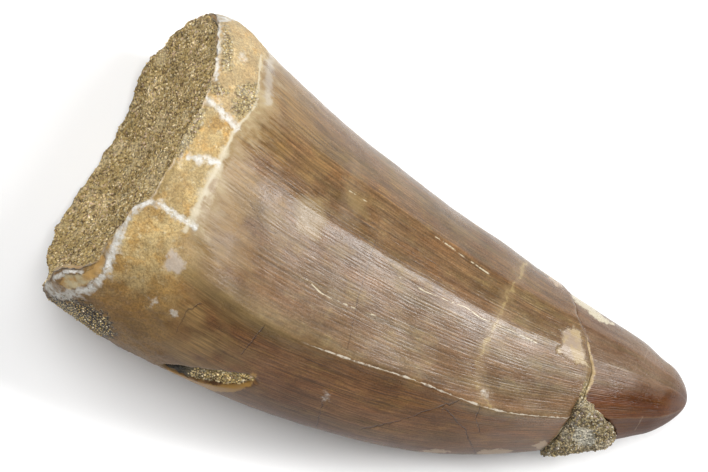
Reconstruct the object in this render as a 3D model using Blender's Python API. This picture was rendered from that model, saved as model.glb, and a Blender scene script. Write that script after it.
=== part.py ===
"""A fossil mosasaur tooth, lying on its side.

The crown is long, stout and slightly curved. It is one loft of cross-sections from the broken base to the
tip. The tip is broken off and set back, a chip is missing beside the break, and sandy matrix fills the open
base, the place of the chip and a small pocket at the lower edge.

+X runs along the tooth from the base to the tip, +Y points to its hollow (concave) edge and +Z up. The origin
is on the surface that the tooth rests on, under the middle of its length and width.
"""

import math

import bmesh
import bpy
from mathutils import Matrix, Vector, noise

# Units. Lengths below are in millimetres, measured from the middle of the broken base, and angles in degrees.
# An angle goes round the tooth: 0 is the concave edge, 90 the top, 180 the convex edge, 270 the underside.
MM = 0.001
ORIGIN_X = 29.80  # where the origin lies along the tooth
ORIGIN_Y = -1.625

# Side profiles along the tooth: (distance from the base, place of the edge)
CONCAVE_EDGE = [(-6, 15.6), (2, 16.7), (6, 16.5), (11, 14.2), (20, 11.0), (32, 7.85), (44, 5.2), (53, 3.5),
                (58, 2.6), (61, 1.6), (65, 0.6)]
CONVEX_EDGE = [(-6, -16.6), (-1, -17.9), (6, -19.3), (17, -19.9), (26, -19.6), (35, -18.6), (44, -16.2),
               (51, -13.0), (57, -9.8), (62, -6.6), (65, -4.6)]
TOP = [(-6, 27.0), (4, 27.4), (12, 26.4), (20, 24.4), (28, 22.1), (36, 19.6), (44, 16.9), (51, 14.2),
       (57, 11.4), (62, 8.7), (65, 6.9)]
UNDERSIDE = [(-6, 0.5), (0, 0.2), (4, -0.25), (20, -0.3), (40, -0.3), (46, -0.1), (52, 0.5), (58, 1.3),
             (65, 2.6)]
TIP_END = 64.9  # the worn end of the tip
TIP_ROUNDING = 3.2  # length of the worn, rounded end

# Ridges along the crown: angle, height as a share of the half height, width in degrees, where it starts and
# where it has its full height
CUTTING_EDGE = (110, 0.165, 14, 5, 20)
UNDER_CUTTING_EDGE = (296, 0.06, 9, 8, 22)
UPPER_FACET_EDGE = (68, 0.035, 9, 14, 30)
INNER_FACET_EDGE = (44, 0.035, 9, 10, 24)
RIDGES = [CUTTING_EDGE, UNDER_CUTTING_EDGE, UPPER_FACET_EDGE, INNER_FACET_EDGE]
LUMP_HEIGHT = 0.14
LUMP_SPACING = 6.0
RELIEF_FADES_BELOW = 3.0  # half width of the tooth below which its relief fades towards the tip

# Lines round the tooth: (angle, distance from the base)
RIM = [(0, 2.2), (12, 3.1), (25, 3.8), (34, 4.5), (42, 5.1), (51, 5.6), (60, 5.8), (70, 5.4), (84, 5.3),
       (92, 4.9), (98, 4.5), (103, 3.5), (110, 3.0), (117, 2.6), (123, 2.1), (129, 1.9), (135, 0.7),
       (141, -1.1), (150, -2.0), (165, -2.5), (185, -2.9), (200, -3.3), (217, -4.1), (230, -4.5),
       (243, -4.2), (254, -3.8), (262, -3.0), (270, -2.4), (277, -1.9), (286, -2.0), (295, -2.5),
       (303, -2.3), (317, -1.4), (325, -0.8), (340, 0.4), (350, 1.3)]
ENAMEL_LINE = [(0, 8.6), (12, 9.6), (21, 9.2), (35, 10.0), (46, 10.5), (54, 10.2), (60, 9.8), (70, 9.7),
               (82, 9.4), (92, 9.3), (100, 9.2), (115, 9.6), (135, 11.0), (160, 12.0), (200, 11.0),
               (270, 9.5), (330, 8.6)]
BREAK_LINE = [(0, 47.6), (20, 48.8), (40, 50.0), (63, 52.2), (80, 53.3), (100, 53.6), (116, 53.6),
              (140, 53.1), (160, 52.5), (200, 51.4), (240, 49.6), (290, 48.2), (330, 47.5)]
BREAK_FACE_RING = 0.5  # share of the cross-section where the broken face has a ring of points
ENAMEL_STEP = 0.15  # how far the enamel stands above the bare dentine
# Angle and width of the step, which is worn smooth on the convex side
ENAMEL_STEP_WIDTH = [(0, 1.6), (95, 1.6), (115, 9.0), (250, 9.0), (275, 1.6)]
TIP_STEP = 0.25  # how far the mended tip sits below the crown's surface

# The pulp cavity: (depth below the rim, share of the cross-section)
CAVITY = [(0.0, 0.95), (1.5, 0.90), (4.0, 0.80), (7.0, 0.65), (10.0, 0.42), (11.6, 0.20)]
CAVITY_DEPTH = 12.0
AXIS_START = 1.0  # where the broken base crosses the middle of the tooth

# The matrix in the base stands out at the far rim and lies below the near one
MATRIX_RISE_MIDDLE = 0.3
MATRIX_RISE_SWING = 1.4
OUT_IN_FRONT = (-0.35, 0.0)  # the rises between which it comes out in front of the rim
OUT_OVER_RIM = (0.05, 0.5)  # and between which it laps out over the rim
PLUG_CLEARANCE = 0.03  # share of the cross-section left free round the plug in the cavity
# Rings at its edge: (share of the cross-section inside, share over the rim, how far out)
MATRIX_EDGE = [(0.925, 0.925, 0.0), (0.92, 0.975, 0.0), (0.91, 0.96, 0.35)]
# Shares of the cross-section where its face has a ring of points
MATRIX_FACE = [0.84, 0.7, 0.55, 0.4, 0.25, 0.12]
MATRIX_DISH = 1.3  # how far the middle of its face is hollowed
MATRIX_LUMP = 0.9
MATRIX_LUMP_SPACING = 5.0

# The chip missing beside the break: the corners of its inner side, and how far they are repeated outward
CHIP_CORNERS = [(53.2, -5.2, 17.0), (55.6, -6.2, 15.5), (58.0, -6.9, 12.5), (58.9, -8.0, 8.0),
                (57.6, -8.0, 2.0), (52.0, -8.0, 1.2), (52.4, -6.4, 8.0)]
CHIP_OUTWARD = (0.0, -14.0, 0.0)
CHIP_MIDDLE = (0.0, -2.5, 0.0)  # from the middle of the inner corners to the point it is scaled about
FILLING_SCALE = 0.9  # the filling's size beside the chip's
FILLING_STANDS_OUT = 0.3
FILLING_LENGTH = 8.0
FILLING_RINGS = 6

# The pocket at the convex edge
POCKET_START = Vector((11.6, -19.6, 15.6))
POCKET_END = Vector((21.6, -16.2, 19.6))
POCKET_HALF_WIDTH = 1.7
POCKET_DEPTH = 1.3
POCKET_REACH = (8.0, 26.0)  # the stretch of the crown that gives its sand the outer form
POCKET_RINGS = 10
POCKET_SAND_BELOW = 0.25  # how far the sand lies below the crown's surface

GAP = 0.32  # between pieces that touch
POINTS_ROUND = 60
CROWN_RINGS = 30
TIP_RINGS = 11
SHARP_ANGLE = 40

FIRST_ANGLE = 2.0  # puts a line of points on the crest of each ridge
ANGLES = [FIRST_ANGLE + 360.0 * i / POINTS_ROUND for i in range(POINTS_ROUND)]


def slope(points, k):
    """The slope at point k, from its neighbours on both sides."""
    before = points[max(k - 1, 0)]
    after = points[min(k + 1, len(points) - 1)]
    return (after[1] - before[1]) / (after[0] - before[0])


def curve(points, x):
    """The value at x of a smooth curve through the points."""
    k = 0
    while k < len(points) - 2 and x > points[k + 1][0]:
        k += 1
    (x0, v0), (x1, v1) = points[k], points[k + 1]
    span = x1 - x0
    t = min(max((x - x0) / span, 0.0), 1.0)
    a = slope(points, k) * span
    b = slope(points, k + 1) * span
    return v0 + t * (a + t * (3 * (v1 - v0) - 2 * a - b + t * (2 * (v0 - v1) + a + b)))


def around(points, angle):
    """The value at an angle of a smooth closed curve round the tooth."""
    before = [(points[-1][0] - 360, points[-1][1])]
    after = [(points[0][0] + 360, points[0][1]), (points[1][0] + 360, points[1][1])]
    return curve(before + points + after, angle % 360)


def ease(low, high, x):
    """0 below low, 1 above high, smooth between."""
    t = min(max((x - low) / (high - low), 0.0), 1.0)
    return t * t * (3 - 2 * t)


def mix(a, b, t):
    return a + (b - a) * t


def section(x):
    """The cross-section at x: its centre (y, z) and its half width and half height."""
    near, far = curve(CONCAVE_EDGE, x), curve(CONVEX_EDGE, x)
    top, under = curve(TOP, x), curve(UNDERSIDE, x)
    into_end = max(0.0, (x - TIP_END + TIP_ROUNDING) / TIP_ROUNDING)
    rounding = math.sqrt(max(0.0, 1 - into_end * into_end))
    return (near + far) / 2, (top + under) / 2, (near - far) / 2 * rounding, (top - under) / 2 * rounding


def middle(x):
    """The point on the tooth's axis at x."""
    y, z, _, _ = section(x)
    return Vector((x, y, z))


def ridge_height(x, angle, half_height):
    """How far the ridges lift the surface: each is sharp at its crest and fades to both sides."""
    height = 0.0
    for crest, share, width, start, full in RIDGES:
        off = abs((angle - crest + 180) % 360 - 180)
        height += share * half_height * ease(start, full, x) * math.exp(-off / width)
    return height


def skin(x, angle, out=0.0):
    """A point on the tooth's outside, moved outward by out."""
    y, z, half_width, half_height = section(x)
    turn = math.radians(angle)
    spoke = Vector((0, half_width * math.cos(turn), half_height * math.sin(turn)))
    if spoke.length < 1e-6:
        return Vector((x, y, z))
    point = Vector((x, y, z)) + spoke
    lump = LUMP_HEIGHT * noise.noise(point / LUMP_SPACING)
    past_line = x - around(ENAMEL_LINE, angle)
    enamel = ENAMEL_STEP * ease(0, around(ENAMEL_STEP_WIDTH, angle), past_line)
    small_end = min(1.0, half_width / RELIEF_FADES_BELOW)
    lift = (ridge_height(x, angle, half_height) + lump + enamel + out) * small_end
    return point + spoke.normalized() * lift


def inside(x, angle, share):
    """A point between the axis and the outside."""
    centre = middle(x)
    return centre + (skin(x, angle) - centre) * share


def loft(name, first, rings, last):
    """A closed solid through rings of points, which ends in a point at both ends."""
    bm = bmesh.new()
    loops = [[bm.verts.new(p) for p in ring] for ring in rings]
    for one, two in zip(loops, loops[1:]):
        for i in range(POINTS_ROUND):
            j = (i + 1) % POINTS_ROUND
            bm.faces.new((one[i], one[j], two[j], two[i]))
    start = bm.verts.new(first)
    end = bm.verts.new(last)
    for i in range(POINTS_ROUND):
        j = (i + 1) % POINTS_ROUND
        bm.faces.new((loops[0][j], loops[0][i], start))
        bm.faces.new((loops[-1][i], loops[-1][j], end))
    return to_object(bm, name)


def to_object(bm, name):
    """An object from a mesh in millimetres, with its place in the mesh."""
    place = Matrix.Scale(MM, 4) @ Matrix.Translation((-ORIGIN_X, -ORIGIN_Y, 0))
    bmesh.ops.transform(bm, matrix=place, verts=bm.verts)
    bmesh.ops.recalc_face_normals(bm, faces=bm.faces)
    mesh = bpy.data.meshes.new(name)
    bm.to_mesh(mesh)
    bm.free()
    obj = bpy.data.objects.new(name, mesh)
    bpy.context.collection.objects.link(obj)
    return obj


def cutter(obj):
    """Marks an object as a guide that other objects are cut with."""
    obj.hide_render = True
    obj.display_type = "WIRE"
    return obj


def boolean(obj, other, operation):
    modifier = obj.modifiers.new(operation.lower(), "BOOLEAN")
    modifier.operation = operation
    modifier.solver = "EXACT"
    modifier.object = other


def cut_flat_underside(obj):
    """Wears the underside flat where it would reach below the surface that the tooth rests on."""
    bm = bmesh.new()
    bm.from_mesh(obj.data)
    geometry = bm.verts[:] + bm.edges[:] + bm.faces[:]
    cut = bmesh.ops.bisect_plane(bm, geom=geometry, plane_co=(0, 0, 0), plane_no=(0, 0, -1), clear_outer=True)
    edges = [e for e in cut["geom_cut"] if isinstance(e, bmesh.types.BMEdge)]
    bmesh.ops.contextual_create(bm, geom=edges)
    bmesh.ops.recalc_face_normals(bm, faces=bm.faces)
    bm.to_mesh(obj.data)
    bm.free()


def finish(obj, colour, roughness):
    """Smooth shading with sharp edges kept, and the piece's own material."""
    obj.data.shade_smooth()
    obj.data.set_sharp_from_angle(angle=math.radians(SHARP_ANGLE))
    material = bpy.data.materials.new(obj.name)
    material.use_nodes = True
    surface = material.node_tree.nodes["Principled BSDF"]
    surface.inputs["Base Color"].default_value = (*colour, 1)
    surface.inputs["Roughness"].default_value = roughness
    surface.inputs["Metallic"].default_value = 0.0
    obj.data.materials.append(material)


def cavity_ring(depth, share):
    """A ring of the pulp cavity's wall. The rings level out towards the bottom of the cavity."""
    level = depth / CAVITY_DEPTH
    return [inside(mix(around(RIM, a), AXIS_START, level) + depth, a, share) for a in ANGLES]


def cavity_floor(depth):
    return middle(AXIS_START + depth)


def make_crown():
    """The crown from the rim of the pulp cavity to the break, hollow at the base."""
    rings = [cavity_ring(depth, share) for depth, share in reversed(CAVITY)]
    for i in range(CROWN_RINGS):
        t = i / (CROWN_RINGS - 1)
        rings.append([skin(mix(around(RIM, a), around(BREAK_LINE, a), t), a) for a in ANGLES])
    rings.append(break_face(0.0, 0.0))
    crown = loft("crown", cavity_floor(CAVITY_DEPTH), rings, break_middle(0.0))
    cut_flat_underside(crown)
    return crown


def break_face(shift, step):
    """A ring half way in on the broken face, which runs level from edge to edge."""
    centre = break_middle(shift)
    edge = [skin(around(BREAK_LINE, a) + shift, a, -step) for a in ANGLES]
    return [centre + (p - centre) * BREAK_FACE_RING for p in edge]


def break_middle(shift):
    reach = sum(around(BREAK_LINE, a) for a in ANGLES) / POINTS_ROUND
    return middle(reach + shift)


def make_tip():
    """The broken-off tip, from the break to the worn end."""
    rings = [break_face(GAP, TIP_STEP)]
    for i in range(TIP_RINGS):
        t = math.sin(math.pi / 2 * i / TIP_RINGS)
        rings.append([skin(mix(around(BREAK_LINE, a) + GAP, TIP_END, t), a, -TIP_STEP) for a in ANGLES])
    return loft("tip", break_middle(GAP), rings, middle(TIP_END))


def matrix_edge(angle):
    """Rise above the rim, and how far the matrix has come out over the rim: first forward, then outward."""
    rise = MATRIX_RISE_MIDDLE - MATRIX_RISE_SWING * math.sin(math.radians(angle))
    return rise, ease(*OUT_IN_FRONT, rise), ease(*OUT_OVER_RIM, rise)


def matrix_ring(share_in, share_out, forward):
    """A ring where the matrix meets the rim. It is inside the cavity on top and in front of the rim below."""
    ring = []
    for a in ANGLES:
        rise, out_front, outward = matrix_edge(a)
        x = around(RIM, a) + mix(GAP - min(rise, 0.0), -GAP, out_front) - forward * max(rise, 0.0)
        ring.append(inside(x, a, mix(share_in, share_out, outward)))
    return ring


def matrix_face_ring(share):
    """A ring of the matrix's open face, lumpy and hollowed towards the middle."""
    ring = []
    for a in ANGLES:
        rise, _, _ = matrix_edge(a)
        level = around(RIM, a) - rise
        flat = mix(AXIS_START, level, share * share)
        x = flat + MATRIX_DISH * (1 - share * share)
        point = inside(x, a, share)
        point.x += MATRIX_LUMP * noise.noise(point / MATRIX_LUMP_SPACING)
        ring.append(point)
    return ring


def make_base_matrix():
    """The matrix: a plug in the pulp cavity with a rough open face that laps over the far rim."""
    rings = [cavity_ring(depth - GAP, share - PLUG_CLEARANCE) for depth, share in reversed(CAVITY[1:])]
    rings += [matrix_ring(*edge) for edge in MATRIX_EDGE]
    rings += [matrix_face_ring(share) for share in MATRIX_FACE]
    face_middle = middle(AXIS_START + MATRIX_DISH)
    return loft("base_matrix", cavity_floor(CAVITY_DEPTH - GAP), rings, face_middle)


def make_chip(name, scale):
    """The missing chip: the hull of its inner corners and of the same corners moved outward."""
    bm = bmesh.new()
    corners = [Vector(c) for c in CHIP_CORNERS]
    outer = [c + Vector(CHIP_OUTWARD) for c in corners]
    centre = sum(corners, Vector()) / len(corners) + Vector(CHIP_MIDDLE)
    for corner in corners + outer:
        bm.verts.new(centre + (corner - centre) * scale)
    bmesh.ops.convex_hull(bm, input=bm.verts)
    return cutter(to_object(bm, name))


def make_break_matrix():
    """The filling in the place of the chip: the tooth's form between the break and the tip's broken side."""
    rings = []
    for i in range(FILLING_RINGS):
        shift = GAP + FILLING_LENGTH * i / (FILLING_RINGS - 1)
        rings.append([skin(around(BREAK_LINE, a) + shift, a, FILLING_STANDS_OUT) for a in ANGLES])
    matrix = loft("break_matrix", break_middle(GAP), rings, break_middle(GAP + FILLING_LENGTH))
    boolean(matrix, make_chip("chip_fill", FILLING_SCALE), "INTERSECT")
    return matrix


def make_pocket(name, shrink):
    """An ellipsoid along the pocket."""
    along = POCKET_END - POCKET_START
    centre = (POCKET_START + POCKET_END) / 2
    turn = along.to_track_quat("X", "Z").to_matrix().to_4x4()
    half = Matrix.Diagonal((along.length / 2 - shrink, POCKET_DEPTH - shrink, POCKET_HALF_WIDTH - shrink, 1))
    bm = bmesh.new()
    place = Matrix.Translation(centre) @ turn @ half
    bmesh.ops.create_uvsphere(bm, u_segments=16, v_segments=10, radius=1, matrix=place)
    return to_object(bm, name)


def make_pocket_matrix():
    """The sand in the pocket, a little below the crown's surface."""
    matrix = make_pocket("pocket_matrix", GAP)
    start, end = POCKET_REACH
    rings = []
    for i in range(POCKET_RINGS):
        x = mix(start, end, i / (POCKET_RINGS - 1))
        rings.append([skin(x, a, -POCKET_SAND_BELOW) for a in ANGLES])
    form = cutter(loft("pocket_form", middle(start), rings, middle(end)))
    boolean(matrix, form, "INTERSECT")
    return matrix


for old in list(bpy.data.objects):
    bpy.data.objects.remove(old, do_unlink=True)

crown = make_crown()
boolean(crown, cutter(make_pocket("pocket_cut", 0.0)), "DIFFERENCE")
tip = make_tip()
boolean(tip, make_chip("chip_cut", 1.0), "DIFFERENCE")

finish(crown, (0.27, 0.19, 0.12), 0.35)
finish(tip, (0.16, 0.085, 0.045), 0.35)
finish(make_base_matrix(), (0.35, 0.26, 0.13), 0.95)
finish(make_break_matrix(), (0.26, 0.22, 0.15), 0.95)
finish(make_pocket_matrix(), (0.40, 0.33, 0.18), 0.95)
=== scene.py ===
"""The looks of a fossil mosasaur tooth that lies on its side, seen from straight above."""
import math

import bmesh
import bpy
import numpy as np
from mathutils import Matrix, Vector, noise


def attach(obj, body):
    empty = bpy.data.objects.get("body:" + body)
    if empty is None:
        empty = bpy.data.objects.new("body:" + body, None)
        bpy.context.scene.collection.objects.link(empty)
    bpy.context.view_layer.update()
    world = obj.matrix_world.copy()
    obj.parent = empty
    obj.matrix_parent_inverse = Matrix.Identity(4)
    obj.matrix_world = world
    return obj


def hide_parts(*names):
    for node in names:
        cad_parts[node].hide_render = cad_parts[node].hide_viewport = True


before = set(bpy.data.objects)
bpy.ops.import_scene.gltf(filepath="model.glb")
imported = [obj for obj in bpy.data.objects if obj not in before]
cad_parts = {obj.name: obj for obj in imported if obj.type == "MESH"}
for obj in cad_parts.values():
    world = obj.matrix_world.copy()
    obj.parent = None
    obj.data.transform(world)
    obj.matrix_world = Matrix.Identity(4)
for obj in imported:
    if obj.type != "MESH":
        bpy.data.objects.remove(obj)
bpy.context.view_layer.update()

# The camera looks straight down. It is turned so that the tooth's tip points to the lower right.
# Its picture is 74.5 mm wide at the middle of the tooth's height.
MM = 0.001
CAMERA_HEIGHT = 0.310
CAMERA_PLACE = (-0.00489, 0.002435)
CAMERA_TURN = math.radians(22.9)
PICTURE_WIDTH = 0.0745
PICTURE_HEIGHT_LEVEL = 0.012
SENSOR_WIDTH = 36.0

camera_data = bpy.data.cameras.new("camera")
camera_data.sensor_width = SENSOR_WIDTH
camera_data.lens = SENSOR_WIDTH * (CAMERA_HEIGHT - PICTURE_HEIGHT_LEVEL) / PICTURE_WIDTH
camera_data.clip_start = 0.01
camera = bpy.data.objects.new("camera", camera_data)
camera.location = (*CAMERA_PLACE, CAMERA_HEIGHT)
camera.rotation_euler = (0, 0, CAMERA_TURN)
bpy.context.collection.objects.link(camera)
bpy.context.scene.camera = camera
bpy.context.scene.view_settings.view_transform = "Standard"

# The crown: one grown piece, stout and slightly curved, of enamel over dentine. A collar of bare dentine
# is left at its broken base, crossed by white veins of calcite. Sizes are in millimetres from the middle of
# that base.
# Angles go round the tooth: 0 is the concave edge, 90 the top, 180 the convex edge, 270 the underside.
ORIGIN = np.array([29.80, -1.625, 0.0])
CONCAVE_EDGE = [(-6, 15.6), (2, 16.7), (6, 16.5), (11, 14.2), (20, 11.0), (32, 7.85), (44, 5.2), (53, 3.5),
                (58, 2.6), (61, 1.6), (65, 0.6)]
CONVEX_EDGE = [(-6, -16.6), (-1, -17.9), (6, -19.3), (17, -19.9), (26, -19.6), (35, -18.6), (44, -16.2),
               (51, -13.0), (57, -9.8), (62, -6.6), (65, -4.6)]
TOP = [(-6, 27.0), (4, 27.4), (12, 26.4), (20, 24.4), (28, 22.1), (36, 19.6), (44, 16.9), (51, 14.2),
       (57, 11.4), (62, 8.7), (65, 6.9)]
UNDERSIDE = [(-6, 0.5), (0, 0.2), (4, -0.25), (20, -0.3), (40, -0.3), (46, -0.1), (52, 0.5), (58, 1.3),
             (65, 2.6)]
TIP_END = 64.9
TIP_ROUNDING = 3.2
RIM = [(0, 2.2), (12, 3.1), (25, 3.8), (34, 4.5), (42, 5.1), (51, 5.6), (60, 5.8), (70, 5.4), (84, 5.3),
       (92, 4.9), (98, 4.5), (103, 3.5), (110, 3.0), (117, 2.6), (123, 2.1), (129, 1.9), (135, 0.7),
       (141, -1.1), (150, -2.0), (165, -2.5), (185, -2.9), (200, -3.3), (217, -4.1), (230, -4.5),
       (243, -4.2), (254, -3.8), (262, -3.0), (270, -2.4), (277, -1.9), (286, -2.0), (295, -2.5),
       (303, -2.3), (317, -1.4), (325, -0.8), (340, 0.4), (350, 1.3)]
WALL = [(0, 0.05), (90, 0.045), (125, 0.05), (150, 0.075), (165, 0.10), (182, 0.09), (205, 0.05),
        (270, 0.045)]
ENAMEL_LINE = [(0, 8.6), (12, 9.6), (21, 9.2), (35, 10.0), (46, 10.5), (54, 10.2), (60, 9.8), (70, 9.7),
               (82, 9.4), (92, 9.3), (100, 9.2), (115, 9.6), (135, 11.0), (160, 12.0), (200, 11.0),
               (270, 9.5), (330, 8.6)]
BREAK_LINE = [(0, 47.6), (20, 48.8), (40, 50.0), (63, 52.2), (80, 53.3), (100, 53.6), (116, 53.6),
              (140, 53.1), (160, 52.5), (200, 51.4), (240, 49.6), (290, 48.2), (330, 47.5)]
CUTTING_EDGE = [(14, 110), (24, 111), (36, 108.5), (48, 114), (60, 115)]
# Ridges: angle, height as a share of the half height, width in degrees, start and full strength
CUTTING_EDGE_FORM = (0.165, 14, 5, 20)
OTHER_RIDGES = [(296, 0.06, 9, 8, 22), (68, 0.035, 9, 14, 30), (44, 0.035, 9, 10, 24)]
ENAMEL_STEP = 0.15
ENAMEL_STEP_WIDTH = [(0, 1.6), (95, 1.6), (115, 9.0), (250, 9.0), (275, 1.6)]
# The cavity's wall: depth, share of the wall's thickness, and share of the radius inside that
CAVITY = [(0.0, 0.2, 0), (0.0, 0.5, 0), (0.1, 0.8, 0), (0.4, 1, 0), (2.0, 1, 0.05), (6.0, 1, 0.26),
          (10.0, 1, 0.55)]
CAVITY_DEPTH = 12.0
AXIS_START = 1.0
CROWN_ROWS = 250
TOP_COLUMNS = 210
UNDER_COLUMNS = 90
STREAK_RADIUS = 14.0
# Marks are laid out as seen from above and end on the sides: past this many degrees from the top, each
# degree counts as this many millimetres more away from them
UPPER_SIDE = 88.0
UNDER_SLOPE = 0.14
# Unevenness, as heights and spacings
BREAK_WAVES = [(0.22, 1.5), (0.12, 0.6)]
RIM_WAVES = [(0.3, 1.7), (0.16, 0.6)]
SKIN_WAVES = [(0.14, 6.0), (0.035, 1.8)]

# Marks on the upper side, as points (along, across)
VEINS = [
    [(5.6, 7.9), (6.8, 7.6), (8.1, 7.0), (9.1, 6.5)],
    [(3.8, -5.1), (4.6, -4.2), (5.8, -3.8), (7.3, -4.1), (9.2, -4.5)],
    [(7.4, 1.8), (8.8, 2.1)],
]
WHITE_RIM = [
    [(3.0, 16.9), (3.1, 16.2), (3.8, 14.9), (4.6, 13.3), (5.2, 11.8), (5.6, 10.7)],
    [(3.6, -5.4), (3.2, -7.5), (3.2, -9.2), (3.2, -11.0), (3.2, -12.7), (2.3, -14.5), (0.5, -16.0),
     (-1.0, -16.7), (-1.8, -16.3)],
]
SECOND_RIM = [[(-1.3, -14.7), (-0.6, -13.9), (0.4, -13.5)]]
LEDGE = [[(-0.9, -15.4), (-0.6, -14.2), (0.9, -13.6), (1.9, -12.4), (2.1, -10.7), (2.9, -10.9),
          (2.9, -12.6), (1.9, -14.2), (0.3, -15.5)]]
WHITE_CORNER = [[(1.6, 16.2), (2.0, 18.0), (4.1, 18.0), (4.8, 16.6), (3.9, 16.0), (3.2, 15.4)]]
ENAMEL_EDGE = [
    [(9.7, 6.2), (9.7, 4.2), (9.7, 2.2), (9.4, -0.1), (9.3, -2.8), (9.2, -4.5)],
    [(9.8, 6.5), (10.3, 7.8), (10.5, 9.3), (9.9, 11.3), (9.0, 13.8)],
]
BLUISH_PATCH = [[(9.7, 14.4), (10.3, 12.9), (11.3, 10.6)]]
DARK_CRACKS = [
    [(40.7, -12.0), (42.2, -12.8), (43.6, -13.3), (43.8, -13.8), (45.4, -15.1)],
    [(43.8, -10.7), (43.9, -11.7), (44.6, -12.5)],
    [(41.1, -11.0), (37.8, -13.9), (36.2, -15.4), (33.9, -17.0)],
    [(13.0, -11.9), (12.2, -12.9), (12.1, -14.7)],
    [(20.0, -11.6), (19.2, -14.2)],
    [(28.7, -16.9), (29.0, -18.6)],
]
FAINT_CRACKS = [[(27.2, 0.8), (27.4, -1.9), (27.7, -4.7), (28.2, -7.1), (28.7, -9.7)],
                [(14.5, -0.5), (16.4, -2.2), (17.2, -2.0)]]
WINDOW = [[(48.8, 0.1), (49.8, 0.9), (50.7, 0.8), (51.2, -0.2), (52.1, -1.3), (52.9, -2.2), (51.2, -2.4),
           (49.9, -2.1), (49.2, -2.3), (48.9, -1.8), (49.3, -1.1)]]
PALE_DASHES = [
    [(23.0, 4.8), (24.4, 4.6)],
    [(32.8, 4.0), (34.5, 3.7), (36.0, 3.3), (39.0, 2.7)],
    [(31.1, -1.3), (33.7, -1.6), (38.5, -1.5), (40.3, -1.9), (44.1, -1.9), (46.4, -2.0)],
    [(22.3, -5.1), (24.1, -5.8), (25.4, -5.9), (27.8, -5.9), (29.8, -5.8)],
]
GOLD_BAND = [[(42.6, 4.6), (42.1, 2.0), (41.9, -2.0), (41.5, -5.0), (42.3, -8.0), (43.8, -9.3)]]
FAINT_BAND = [[(22.9, 5.1), (23.8, 1.0), (24.9, -4.0)]]
GOLDEN_BLOTCHES = [
    [(18.2, 1.8), (20.4, 2.9), (22.0, 1.4), (21.5, -0.9), (19.0, -0.6)],
    [(22.0, 5.3), (24.2, 4.6), (25.4, 3.0), (23.4, 3.2)],
]
SANDY_PLACES = [
    [(8.2, 10.4), (9.5, 11.2), (10.2, 10.5), (10.5, 9.1), (10.0, 7.7), (9.5, 7.0), (8.7, 7.8), (8.3, 9.2)],
    [(5.6, 9.7), (6.8, 9.4), (7.6, 9.6), (7.6, 8.8), (6.6, 8.4), (5.7, 8.6)],
    [(5.3, 6.6), (6.3, 6.4), (6.5, 4.4), (6.2, 2.4), (5.6, 1.0), (5.0, 1.2), (5.0, 4.0)],
    [(4.2, 15.6), (5.6, 14.5), (6.6, 12.6), (6.9, 11.3), (6.1, 11.1), (5.2, 13.0)],
]
DARK_SAND = [[(-2.4, -17.4), (-0.6, -17.2), (0.6, -16.8), (2.9, -16.5), (4.7, -16.8), (6.0, -18.2),
              (3.9, -19.6), (1.5, -19.6), (-0.3, -19.0), (-2.4, -18.4)]]
FLAKES = [
    [(45.8, -15.3), (46.2, -14.8), (48.0, -13.9), (49.2, -13.6), (48.6, -14.4), (46.9, -15.2)],
    [(40.0, -17.6), (41.5, -16.6), (43.1, -16.2), (41.8, -17.0)],
    [(50.9, -12.2), (51.8, -11.3), (52.8, -11.6), (52.6, -12.6)],
    [(44.5, 5.4), (46.8, 4.3), (47.4, 4.6), (46.0, 5.6)],
]
LAVENDER_CHIP = [[(8.5, -7.3), (8.5, -9.7), (10.3, -9.4), (10.5, -8.3)]]
PALE_SPOTS = [[(8.7, -13.2), (8.9, -13.2)], [(11.0, -13.4), (11.2, -13.4)], [(28.7, -15.6), (28.7, -15.4)],
              [(43.6, -8.9), (43.8, -8.9)], [(7.2, 13.4), (7.4, 13.2)], [(5.6, 4.6), (5.7, 3.9)],
              [(5.6, 3.3), (5.7, 2.6)], [(5.8, 1.6), (6.0, 1.0)], [(9.0, 10.0), (9.2, 9.6)]]
POCKET_LIP = [[(12.4, -19.4), (15.5, -19.5), (17.7, -19.0), (20.0, -17.7), (20.7, -16.1), (21.3, -16.1),
               (21.2, -17.4), (19.8, -18.9), (17.8, -19.8), (15.7, -20.6), (12.4, -20.6)]]

# The chip beside the break and the pocket at the convex edge, where matrix fills a place in the tooth
CHIP_CORNERS = [(53.2, -5.2, 17.0), (55.6, -6.2, 15.5), (58.0, -6.9, 12.5), (58.9, -8.0, 8.0),
                (57.6, -8.0, 2.0), (52.0, -8.0, 1.2), (52.4, -6.4, 8.0)]
CHIP_OUTWARD = (0.0, -14.0, 0.0)
CHIP_DEPTH = 0.7
POCKET_START = np.array([11.6, -19.6, 15.6])
POCKET_END = np.array([21.6, -16.2, 19.6])
POCKET_HALF_WIDTH = 1.7
POCKET_DEPTH = 1.0


def curve(points, x):
    """Values at x of a smooth curve through the points."""
    xs, vs = np.array(points, float).T
    k = np.arange(len(xs))
    before, after = np.maximum(k - 1, 0), np.minimum(k + 1, len(xs) - 1)
    slopes = (vs[after] - vs[before]) / (xs[after] - xs[before])
    i = np.clip(np.searchsorted(xs, x) - 1, 0, len(xs) - 2)
    span = xs[i + 1] - xs[i]
    t = np.clip((x - xs[i]) / span, 0, 1)
    a, b, rise = slopes[i] * span, slopes[i + 1] * span, vs[i + 1] - vs[i]
    return vs[i] + t * (a + t * (3 * rise - 2 * a - b + t * (a + b - 2 * rise)))


def around(points, angle):
    """Values at an angle of a smooth closed curve round the tooth."""
    before = [(points[-1][0] - 360, points[-1][1])]
    after = [(place + 360, value) for place, value in points[:2]]
    return curve(before + points + after, angle % 360)


def ease(low, high, x):
    """0 at low, 1 at high, smooth between."""
    t = np.clip((x - low) / (high - low), 0, 1)
    return t * t * (3 - 2 * t)


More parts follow.
